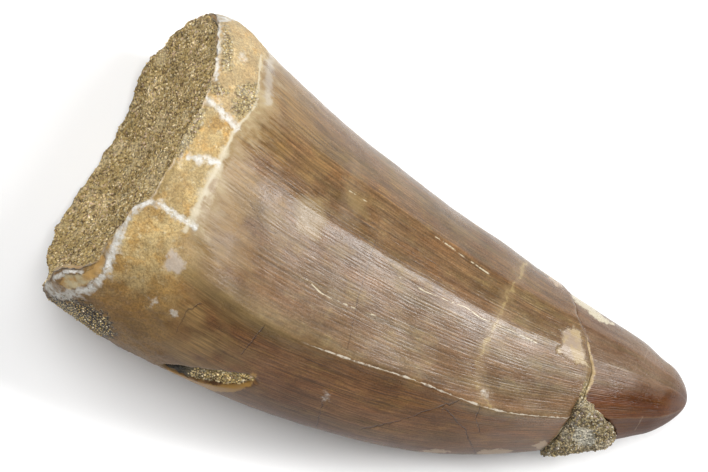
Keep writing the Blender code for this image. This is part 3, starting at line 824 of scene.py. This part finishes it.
# Pale flakes, the window of bare dentine beside the break, and the lavender chip
flake_mask = patch(tree, "flakes", fray, 0.8, 0.12, -0.02)
colour = blend(tree, masked(tree, flake_mask, 0.85), colour, (0.35, 0.245, 0.15))
window = patch(tree, "window", fray, 0.9, 0.2, -0.2)
yellower = rise(tree, cloud(tree, place, 1.3, 3.0), 0.42, 0.58)
peach = blend(tree, yellower, (0.30, 0.225, 0.16), (0.35, 0.26, 0.145))
colour = blend(tree, window, colour, peach)
height = calc(tree, "SUBTRACT", height, masked(tree, window, 0.12))
lavender = patch(tree, "lavender", fray, 1.3, 0.3, -0.3)
colour = blend(tree, masked(tree, lavender, 0.75), colour, (0.46, 0.39, 0.33))

# Calcite: the veins, the line where the enamel begins, the whitened rim and its corner, and scattered spots
calcite = use(tree, calcite_group, {"Place": place})
worn_through = rise(tree, cloud(tree, place, 0.75, 4.0, 0.7), 0.36, 0.50, 0.30, 1.0)
veins = line(tree, "veins", half_width=0.32, softness=0.9, wander=0.4, size=0.8)
rim_width = rise(tree, across, -4.0, 6.0, 0.46, 0.26)
rim_line = line(tree, "white_rim", half_width=rim_width, softness=0.85, wander=0.5, size=0.8)
second_line = line(tree, "second_rim", half_width=0.22, softness=0.6, wander=0.3, size=0.9)
edge_width = rise(tree, across, 4.0, 8.5, 0.34, 0.12)
enamel_edge = line(tree, "enamel_edge", half_width=edge_width, softness=0.85, wander=0.3, size=1.4)
bluish = line(tree, "bluish_patch", half_width=0.36, softness=0.95, wander=0.3, size=1.4)
corner = patch(tree, "white_corner", fray, 0.8, 0.15, -0.15)
spot_mask = patch(tree, "pale_spots", fray, 1.6, 0.55, 0.05)
worn_rim = rise(tree, calc(tree, "SUBTRACT", wavered(tree, from_rim, waver, 0.9), 0.12), 0.15, -0.15)
colour = blend(tree, masked(tree, enamel_edge, 0.8), colour, (0.54, 0.475, 0.34))
colour = blend(tree, masked(tree, bluish, 0.38), colour, (0.44, 0.42, 0.39))
faint_white = any_of(tree, masked(tree, worn_rim, 0.35), masked(tree, spot_mask, 0.5))
white = any_of(tree, veins, rim_line, second_line, corner, faint_white)
colour = blend(tree, masked(tree, white, worn_through, 0.95), colour, calcite["Colour"])
height = between(tree, white, height, calcite["Height"])
ledge = patch(tree, "ledge", fray, 0.6, 0.12, -0.12)
ledge_colour = blend(tree, rise(tree, golden, 0.42, 0.56), (0.45, 0.27, 0.09), (0.54, 0.45, 0.27))
colour = blend(tree, masked(tree, ledge, 0.85), colour, ledge_colour)
height = calc(tree, "SUBTRACT", height, masked(tree, ledge, 0.12))

# The broken wall shows golden dentine between its two white edges
into_wall = stored(tree, "into_wall")
past_inner_edge = rise(tree, wavered(tree, into_wall, fray, 0.8), 0.95, 0.75)
gold_wall = masked(tree, rise(tree, into_wall, 0.2, 0.4), past_inner_edge)
wall_colour = blend(tree, rise(tree, golden, 0.4, 0.6), (0.36, 0.20, 0.06), (0.38, 0.30, 0.17))
colour = blend(tree, masked(tree, gold_wall, 0.85), colour, wall_colour)

# Sand stuck to the collar and in the hollows
sand = use(tree, sand_group, {"Place": place, "Size": 0.26, "Tint": (1.0, 1.0, 1.0)})
sand_mask = patch(tree, "sandy", fray, 1.6, 0.25, -0.15)
near_break = rise(tree, wavered(tree, from_break, fray, 0.6), 0.50, 0.35)
infill = masked(tree, near_break, rise(tree, across, -1.5, -2.6))
sand_mask = any_of(tree, sand_mask, rise(tree, stored(tree, "pocket"), 0.0, -0.15), infill)
colour = blend(tree, masked(tree, sand_mask, 0.85), colour, sand["Colour"])
height = between(tree, sand_mask, height, sand["Height"])
dark = patch(tree, "dark_sand", fray, 3.4, 0.5, -0.1)
dark_colour = blend(tree, rise(tree, speckle, 0.50, 0.60), (0.012, 0.008, 0.006), sand["Colour"])
colour = blend(tree, dark, colour, dark_colour)
lip = patch(tree, "pocket_lip", fray, 0.5, 0.10, -0.10)
colour = blend(tree, masked(tree, lip, 0.9), colour, (0.36, 0.20, 0.05))
finish_surface(tree, surface, colour, height, roughness)
crown.data.materials.append(material)
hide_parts("crown")
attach(crown, "root")

# The tip: the end of the same crown, broken off in the ground and held again by matrix. It sits a little
# lower than the crown, is redder and darker, on its lower side partly through painted shade, and its point
# is worn round.
TIP_ROWS = 110
TIP_GAP = 0.1
TIP_STEP = 0.25
TIP_CHIP = [[(48.2, 4.3), (49.1, 4.1), (51.4, 3.7), (52.8, 3.2), (54.1, 2.9), (52.3, 2.6), (50.6, 3.2),
             (49.3, 3.5)]]
TIP_WAVES = [(0.12, 5.0), (0.03, 1.5)]
TIP_SCRATCHES = [[(60.6, -6.2), (60.6, -5.3)], [(58.4, 0.8), (58.5, 1.5)]]

way = np.sin(np.linspace(0, np.pi / 2, TIP_ROWS, endpoint=False))[:, None]
along = break_line + TIP_GAP + (TIP_END - break_line - TIP_GAP) * way
plain = skin(along, angles)
out = rough(plain, TIP_WAVES) - TIP_STEP
out -= (0.10 + 0.12 * lumps(plain, 0.7)) * (1 - ease(0.0, 0.4, along - break_line))
out -= CHIP_DEPTH * ease(0.0, -0.35, outside_of_chip(plain) + 0.2 * lumps(plain, 0.7))
tip_rings = skin(along, angles, out)
tip_centre = break_centre + [TIP_GAP, 0, 0]
tip_face = [tip_centre + (tip_rings[0] - tip_centre) * s for s in (0.2, 0.6, 0.95, 0.985)]
tip_rings = np.concatenate([np.array(tip_face), tip_rings])
tip, tip_points = closed_mesh("tip_enamel", tip_centre, tip_rings, middle(np.array([TIP_END]))[0])

before = len(tip_face)
whole_angle = whole(np.broadcast_to(angles, along.shape), before, 0, 90.0)
under = past_upper_side(whole_angle)
store(tip, "streak", streak_space(tip_points[:, 0], whole_angle))
store(tip, "from_break", whole(along - break_line, before, 0, 0.0))
store(tip, "below_crest", whole(from_cutting_edge(along, plain), before, 0, 50.0))
store(tip, "tip_chip", outside_of(TIP_CHIP, tip_points, under))
store(tip, "scratches", beside(TIP_SCRATCHES, tip_points, under))

material, tree, surface = new_material("tip_enamel", 0.36, 1.45)
place = place_in_mm(tree)
below_crest = stored(tree, "below_crest")
from_break = stored(tree, "from_break")
across = add(tree, "SeparateXYZ", {0: place}).outputs["Y"]
fray = jitter(tree, place, 0.5, 3.0, 0.6)
enamel = use(tree, enamel_group, {
    "Streak": stored(tree, "streak", "Vector"), "Place": place, "Brown": (0.150, 0.090, 0.050),
    "Dark": (0.098, 0.050, 0.023), "Gold": (0.18, 0.105, 0.045), "Gold Amount": 0.3})
colour = enamel["Colour"]
height = enamel["Height"]
# From just above the cutting edge over the lower side the tip is made much darker and redder: partly its
# own colour, partly painted shade.
lower = rise(tree, below_crest, -3.8, -1.6)
colour = blend(tree, lower, colour, (0.60, 0.30, 0.02), "MULTIPLY")
off_crest = calc(tree, "ABSOLUTE", wavered(tree, below_crest, fray, 0.4))
colour = blend(tree, rise(tree, off_crest, 0.18, 0.05, 0.0, 0.18), colour, (0.30, 0.20, 0.12))
lip_width = rise(tree, calc(tree, "ABSOLUTE", calc(tree, "ADD", across, 0.8)), 3.4, 1.8, 0.08, 0.42)
lip = rise(tree, calc(tree, "SUBTRACT", wavered(tree, from_break, fray, 0.5), lip_width), 0.1, -0.08)
colour = blend(tree, masked(tree, lip, 0.9), colour, (0.37, 0.26, 0.125))
sand = use(tree, sand_group, {"Place": place, "Size": 0.24, "Tint": (1.1, 1.08, 1.0)})
near_break = rise(tree, wavered(tree, from_break, fray, 0.6), 0.32, 0.18)
infill = masked(tree, near_break, rise(tree, across, -1.5, -2.6))
colour = blend(tree, masked(tree, infill, 0.85), colour, sand["Colour"])
chip = patch(tree, "tip_chip", fray, 0.7, 0.12, -0.05)
colour = blend(tree, chip, colour, (0.46, 0.40, 0.28))
scratches = line(tree, "scratches", half_width=0.04, softness=0.7, wander=0.3, size=0.8)
colour = blend(tree, masked(tree, scratches, 0.35), colour, (0.3, 0.22, 0.15))
roughness = between(tree, rise(tree, below_crest, -1.5, 0.5), enamel["Roughness"], 0.55)
finish_surface(tree, surface, colour, height, roughness)
tip.data.materials.append(material)
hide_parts("tip")
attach(tip, "root")

# The matrix in the open base: hardened sand that fills the pulp cavity. Its face is rough and dished, lies
# below the near rim and laps over the far one. Loose-looking grains stand out all over it.
MATRIX_RISE_MIDDLE = 0.3
MATRIX_RISE_SWING = 1.4
MATRIX_DISH = 1.3
MATRIX_ROWS = 90
# Pale places on its face: across, up, and radius
PALE_SAND = [(13.8, 12.2, 1.3), (11.3, 15.9, 1.6), (6.8, 6.4, 1.5), (2.3, 6.8, 1.2), (-7.2, 6.4, 1.8)]
PALE_SAND_TINT = (1.35, 1.4, 1.6)
# Grains on each piece: least distance between two, and the half lengths of the smallest and the largest
BASE_GRAINS = (0.28, 0.06, 0.15)
COLLAR_GRAINS = (0.27, 0.05, 0.13)
FILLING_GRAINS = (0.24, 0.06, 0.16)
POCKET_GRAINS = (0.26, 0.07, 0.17)
matrix_angles = np.linspace(0, 360, 240, endpoint=False)
matrix_rim = around(RIM, matrix_angles)
rise_out = MATRIX_RISE_MIDDLE - MATRIX_RISE_SWING * np.sin(np.radians(matrix_angles))
lapped = ease(0.0, 0.6, rise_out)
edge_share = 1 - around(WALL, matrix_angles) * (1 - 0.75 * lapped)
matrix_rings = []
for share in np.linspace(0.03, 1.0, MATRIX_ROWS):
    part = share * edge_share
    level = matrix_rim - rise_out
    x = AXIS_START + (level - AXIS_START) * share**2 + MATRIX_DISH * (1 - share**2)
    x = x + lapped * rise_out * ease(0.955, 1.0, share)
    ring = middle(x) + (skin(x, matrix_angles) - middle(x)) * part[:, None]
    bumps = 0.9 * lumps(ring, 5.0) + 0.55 * lumps(ring + 9, 1.9) + 0.35 * lumps(ring, 0.8, 3)
    ring[:, 0] += bumps * (1 - 0.6 * ease(0.9, 1.0, share))
    matrix_rings.append(ring)
plug = []
for depth, part in ((3.0, 0.86), (7.0, 0.62), (10.0, 0.38)):
    x = matrix_rim + (AXIS_START - matrix_rim) * depth / CAVITY_DEPTH + depth
    plug.append(middle(x) + (skin(x, matrix_angles) - middle(x)) * part)
face_middle = middle(np.array([AXIS_START + MATRIX_DISH]))[0]
base, base_points = closed_mesh(
    "base_sand", face_middle, np.array(matrix_rings + plug), cavity_end - [0.4, 0, 0])
cover = np.zeros(len(base_points))
cover[:MATRIX_ROWS * len(matrix_angles)] = 1.0
store(base, "cover", cover)
across_face = base_points[:, None, 1:] - np.array(PALE_SAND)[:, :2]
off_pale_sand = (np.linalg.norm(across_face, axis=2) - np.array(PALE_SAND)[:, 2]).min(axis=1)
store(base, "pale_sand", np.maximum(2.0 - off_pale_sand, 0.0))


def paler_places(tree, place, colour):
    """The colour of the sand, paler where the piece is marked so."""
    pale = patch(tree, "pale_sand", jitter(tree, place, 1.2, 3.0, 0.6), 5.0, 1.4, 2.6)
    return blend(tree, pale, colour, PALE_SAND_TINT, "MULTIPLY")


material, tree, surface = new_material("base_sand", 0.9)
place = place_in_mm(tree)
sand = use(tree, sand_group, {"Place": place, "Size": 0.28, "Tint": (1.25, 1.16, 0.97)})
colour = paler_places(tree, place, sand["Colour"])
finish_surface(tree, surface, colour, sand["Height"])
base.data.materials.append(material)
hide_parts("base_matrix")
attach(base, "root")


def grain_maker():
    """Geometry nodes that strew grains over a surface where it is marked as covered."""
    tree = bpy.data.node_groups.new("grains", "GeometryNodeTree")
    face = tree.interface
    face.new_socket("Surface", in_out="INPUT", socket_type="NodeSocketGeometry")
    for title in ("Spacing", "Smallest", "Largest"):
        face.new_socket(title, in_out="INPUT", socket_type="NodeSocketFloat")
    face.new_socket("Finish", in_out="INPUT", socket_type="NodeSocketMaterial")
    face.new_socket("Grains", in_out="OUTPUT", socket_type="NodeSocketGeometry")

    def node(kind, inputs, **settings):
        made = tree.nodes.new(kind)
        for name, value in settings.items():
            setattr(made, name, value)
        for title, value in inputs.items():
            if isinstance(value, bpy.types.NodeSocket):
                tree.links.new(value, made.inputs[title])
            else:
                made.inputs[title].default_value = value
        return made

    given = tree.nodes.new("NodeGroupInput").outputs
    cover = node("GeometryNodeInputNamedAttribute", {"Name": "cover"}, data_type="FLOAT")
    points = node("GeometryNodeDistributePointsOnFaces", {
        "Mesh": given["Surface"], "Distance Min": given["Spacing"], "Density Max": 4.0e7,
        "Density Factor": cover.outputs["Attribute"], "Seed": 7}, distribute_method="POISSON")
    ball = node("GeometryNodeMeshIcoSphere", {"Radius": 1.0, "Subdivisions": 1})
    size = node("FunctionNodeRandomValue", {2: given["Smallest"], 3: given["Largest"], "Seed": 3},
                data_type="FLOAT")
    stretch = node("FunctionNodeRandomValue", {0: (0.7, 0.7, 0.55), 1: (1.3, 1.1, 0.95), "Seed": 5},
                   data_type="FLOAT_VECTOR")
    scale = node("ShaderNodeVectorMath", {0: stretch.outputs[0], "Scale": size.outputs[1]},
                 operation="SCALE")
    turn = node("FunctionNodeRandomValue", {0: (0, 0, 0), 1: (6.28, 6.28, 6.28), "Seed": 11},
                data_type="FLOAT_VECTOR")
    grains = node("GeometryNodeInstanceOnPoints", {
        "Points": points.outputs["Points"], "Instance": ball.outputs["Mesh"], "Rotation": turn.outputs[0],
        "Scale": scale.outputs[0]})
    tone = node("FunctionNodeRandomValue", {2: 0.0, 3: 1.0, "Seed": 13}, data_type="FLOAT")
    toned = node("GeometryNodeStoreNamedAttribute", {
        "Geometry": grains.outputs["Instances"], "Name": "tone", "Value": tone.outputs[1]},
        data_type="FLOAT", domain="INSTANCE")
    real = node("GeometryNodeRealizeInstances", {"Geometry": toned.outputs["Geometry"]})
    finished = node("GeometryNodeSetMaterial", {
        "Geometry": real.outputs["Geometry"], "Material": given["Finish"]})
    tree.links.new(finished.outputs["Geometry"], tree.nodes.new("NodeGroupOutput").inputs["Grains"])
    return tree


grain_tree = grain_maker()


def strew(name, surface, grains, finish):
    """Grains over the covered part of a piece, as one mesh."""
    spacing, smallest, largest = grains
    carrier = bpy.data.objects.new(name, surface.data.copy())
    bpy.context.collection.objects.link(carrier)
    modifier = carrier.modifiers.new("grains", "NODES")
    modifier.node_group = grain_tree
    wanted = {"Spacing": spacing * MM, "Smallest": smallest * MM, "Largest": largest * MM, "Finish": finish}
    for item in grain_tree.interface.items_tree:
        if item.in_out == "INPUT" and item.name in wanted:
            modifier[item.identifier] = wanted[item.name]
    bpy.context.view_layer.update()
    made = carrier.evaluated_get(bpy.context.evaluated_depsgraph_get())
    mesh = bpy.data.meshes.new_from_object(made)
    mesh.name = name
    carrier.modifiers.clear()
    carrier.data = mesh
    return carrier


def grain_material(name, tint):
    """Single grains: each has its own colour, from brown through gold to cream."""
    material, tree, surface = new_material(name, 0.75)
    place = place_in_mm(tree)
    tone = stored(tree, "tone")
    colour = blend(tree, rise(tree, tone, 0.12, 0.25), (0.10, 0.062, 0.026), (0.33, 0.245, 0.105))
    colour = blend(tree, rise(tree, tone, 0.40, 0.65), colour, (0.44, 0.35, 0.175))
    colour = blend(tree, rise(tree, tone, 0.82, 0.90), colour, (0.62, 0.53, 0.34))
    colour = blend(tree, rise(tree, tone, 0.94, 0.96), colour, (0.80, 0.73, 0.58))
    colour = times(tree, drifting(tree, place, colour), tint)
    colour = paler_places(tree, place, colour)
    height = calc(tree, "MULTIPLY", cloud(tree, place, 0.12, 2.0), 0.05)
    finish_surface(tree, surface, colour, height)
    return material


sand_grains = grain_material("sand_grains", (1.28, 1.18, 0.97))
base_grains = strew("base_grains", base, BASE_GRAINS, sand_grains)
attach(base_grains, "root")

# Grains of the same sand that stick to the collar
collar_grains = strew("collar_grains", crown, COLLAR_GRAINS, sand_grains)
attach(collar_grains, "root")

# The filling in the chip beside the break: a rough lump of grey and cream grains that holds the tip. It is
# the solid's own form, made fine and uneven.
FILLING_VOXEL = 0.16
# How far the form is moved out, the height of its unevenness and the spacing
FILLING_FORM = (0.34, 0.26, 0.5)
POCKET_FORM = (0.10, 0.18, 0.5)


def rough_copy(name, node_name, form):
    """The form of a solid as a fine, uneven mesh, and its points."""
    swell, roughness, grain = form
    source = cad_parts[node_name]
    bm = bmesh.new()
    bm.from_mesh(source.data)
    bmesh.ops.remove_doubles(bm, verts=bm.verts, dist=1e-6)
    mesh = bpy.data.meshes.new(name)
    bm.to_mesh(mesh)
    bm.free()
    piece = bpy.data.objects.new(name, mesh)
    bpy.context.collection.objects.link(piece)
    remesh = piece.modifiers.new("fine", "REMESH")
    remesh.mode = "VOXEL"
    remesh.voxel_size = FILLING_VOXEL * MM
    made = piece.evaluated_get(bpy.context.evaluated_depsgraph_get())
    fine_mesh = bpy.data.meshes.new_from_object(made)
    piece.modifiers.clear()
    piece.data = fine_mesh
    fine_mesh.name = name
    count = len(fine_mesh.vertices)
    points = np.empty(count * 3)
    fine_mesh.vertices.foreach_get("co", points)
    points = points.reshape(-1, 3) / MM
    normals = np.empty(count * 3, dtype=np.float32)
    fine_mesh.vertex_normals.foreach_get("vector", normals)
    normals = normals.reshape(-1, 3)
    move = swell + roughness * lumps(points, grain * 3) + roughness * lumps(points, grain, 2)
    points = points + normals * move[:, None]
    points[:, 2] = np.maximum(points[:, 2], 0.0)
    fine_mesh.vertices.foreach_set("co", (points * MM).ravel())
    fine_mesh.update()
    fine_mesh.shade_smooth()
    return piece, points + ORIGIN


PALE_LUMP = [[(54.1, -8.4), (56.2, -8.2), (57.0, -9.8), (55.6, -10.4), (54.4, -9.8)]]
filling, filling_points = rough_copy("chip_filling", "break_matrix", FILLING_FORM)
in_lump = outside_of(PALE_LUMP, filling_points, 0.0)
store(filling, "pale_lump", in_lump)
store(filling, "cover", np.where(in_lump < 0, 0.15, 1.0))
material, tree, surface = new_material("chip_filling", 0.9)
place = place_in_mm(tree)
sand = use(tree, sand_group, {"Place": place, "Size": 0.30, "Tint": (0.70, 0.71, 0.78)})
uneven = jitter(tree, place, 0.7)
pale = patch(tree, "pale_lump", uneven, 1.2, 0.2, -0.2)
colour = blend(tree, masked(tree, pale, 0.75), sand["Colour"], (0.45, 0.42, 0.34))
finish_surface(tree, surface, colour, sand["Height"])
filling.data.materials.append(material)
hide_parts("break_matrix")
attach(filling, "root")
grey_grains = grain_material("grey_grains", (0.84, 0.82, 0.83))
filling_grains = strew("filling_grains", filling, FILLING_GRAINS, grey_grains)
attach(filling_grains, "root")

# The sand left in the pocket at the lower edge. It is in shadow at its end towards the base.
pocket, pocket_points = rough_copy("pocket_sand", "pocket_matrix", POCKET_FORM)
store(pocket, "cover", ease(14.0, 17.0, pocket_points[:, 0]))
material, tree, surface = new_material("pocket_sand", 0.9)
place = place_in_mm(tree)
sand = use(tree, sand_group, {"Place": place, "Size": 0.28, "Tint": (1.15, 1.1, 1.0)})
lengthways = add(tree, "SeparateXYZ", {0: place}).outputs["X"]
shade = rise(tree, lengthways, -16.5, -12.0, 0.06, 1.0)
finish_surface(tree, surface, times(tree, sand["Colour"], shade), sand["Height"])
pocket.data.materials.append(material)
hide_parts("pocket_matrix")
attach(pocket, "root")
pocket_grains = strew("pocket_grains", pocket, POCKET_GRAINS, sand_grains)
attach(pocket_grains, "root")

# A plain white table and soft studio light: one large soft light above, one on each side, and white
# surroundings. None of it belongs to the tooth.
FLOOR_SIZE = 3.0
# Each light: its place, the direction of its length, its length and width in metres, and its power
OVERHEAD_LIGHT = (Vector((0.00, 0.12, 0.62)), Vector((1, 0, 0)), 0.34, 0.34, 2.7)
LEFT_LIGHT = (Vector((-0.30, 0.16, 0.48)), Vector((0, 1, 0)), 0.45, 0.45, 1.1)
RIGHT_LIGHT = (Vector((0.37, 0.24, 0.40)), Vector((0.35, -0.15, -0.22)), 0.32, 0.09, 2.9)
SKY = 0.13

floor_mesh = bpy.data.meshes.new("table")
half = FLOOR_SIZE / 2
floor_corners = [(-half, -half, 0), (half, -half, 0), (half, half, 0), (-half, half, 0)]
floor_mesh.from_pydata(floor_corners, [], [(0, 1, 2, 3)])
floor = bpy.data.objects.new("table", floor_mesh)
bpy.context.collection.objects.link(floor)
material, tree, surface = new_material("white_table", 0.9)
surface.inputs["Base Color"].default_value = (0.94, 0.94, 0.94, 1)
floor.data.materials.append(material)

for place, lengthways, length, width, power in (OVERHEAD_LIGHT, LEFT_LIGHT, RIGHT_LIGHT):
    light_data = bpy.data.lights.new("softbox", "AREA")
    light_data.shape = "RECTANGLE"
    light_data.size = length
    light_data.size_y = width
    light_data.energy = power
    light = bpy.data.objects.new("softbox", light_data)
    back = place.normalized()
    side = (lengthways - lengthways.dot(back) * back).normalized()
    light.matrix_world = Matrix((side, back.cross(side), back)).transposed().to_4x4()
    light.location = place
    bpy.context.collection.objects.link(light)

world = bpy.data.worlds.new("studio")
world.use_nodes = True
world.node_tree.nodes["Background"].inputs["Color"].default_value = (1, 1, 1, 1)
world.node_tree.nodes["Background"].inputs["Strength"].default_value = SKY
bpy.context.scene.world = world
